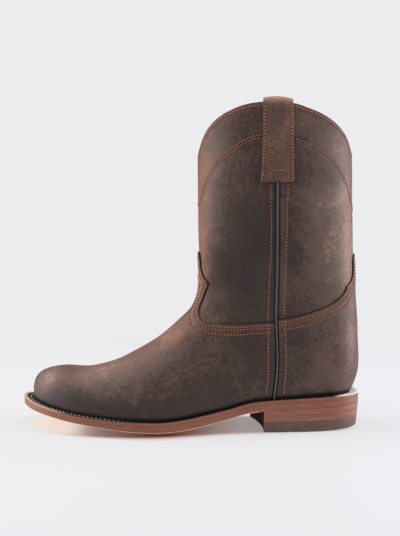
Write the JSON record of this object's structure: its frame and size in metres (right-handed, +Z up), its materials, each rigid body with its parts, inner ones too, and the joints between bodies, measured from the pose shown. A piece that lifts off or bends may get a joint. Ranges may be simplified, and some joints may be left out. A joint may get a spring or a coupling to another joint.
{
  "type": "roper boot",
  "caption": "Left pull-on roper boot with rounded collar, pull straps, tongued vamp and counter overlays, piped side seams, welted leather sole and low stacked heel",
  "frame": {"origin": "middle of the flat rest under the heel, on the floor", "axes": "+X runs from the toe to the heel and lies along the longest side, +Y to the inner side of the foot and lies along the shortest side, +Z up"},
  "size_m": [0.3066, 0.1138, 0.294],
  "materials": {
    "upper": "oiled brown leather, soft sheen",
    "vamp": "oiled brown leather, soft sheen",
    "counter": "oiled brown leather, soft sheen",
    "piping": "dark glossy leather bead",
    "strap": "oiled brown leather",
    "welt": "red-brown waxed leather",
    "outsole": "red-brown waxed leather edge, natural tread",
    "insole": "undyed leather",
    "heel": "red-brown waxed leather stack",
    "top_lift": "dark brown rubber"
  },
  "bodies": {
    "root": {"upper": "upper", "vamp": "vamp", "counter": "counter", "piping_lateral": "piping", "piping_medial": "piping", "strap_lateral": "strap", "strap_medial": "strap", "welt": "welt", "outsole": "outsole", "insole": "insole", "heel_lift_1": "heel", "heel_lift_2": "heel", "top_lift": "top_lift"}
  },
  "joints": []
}
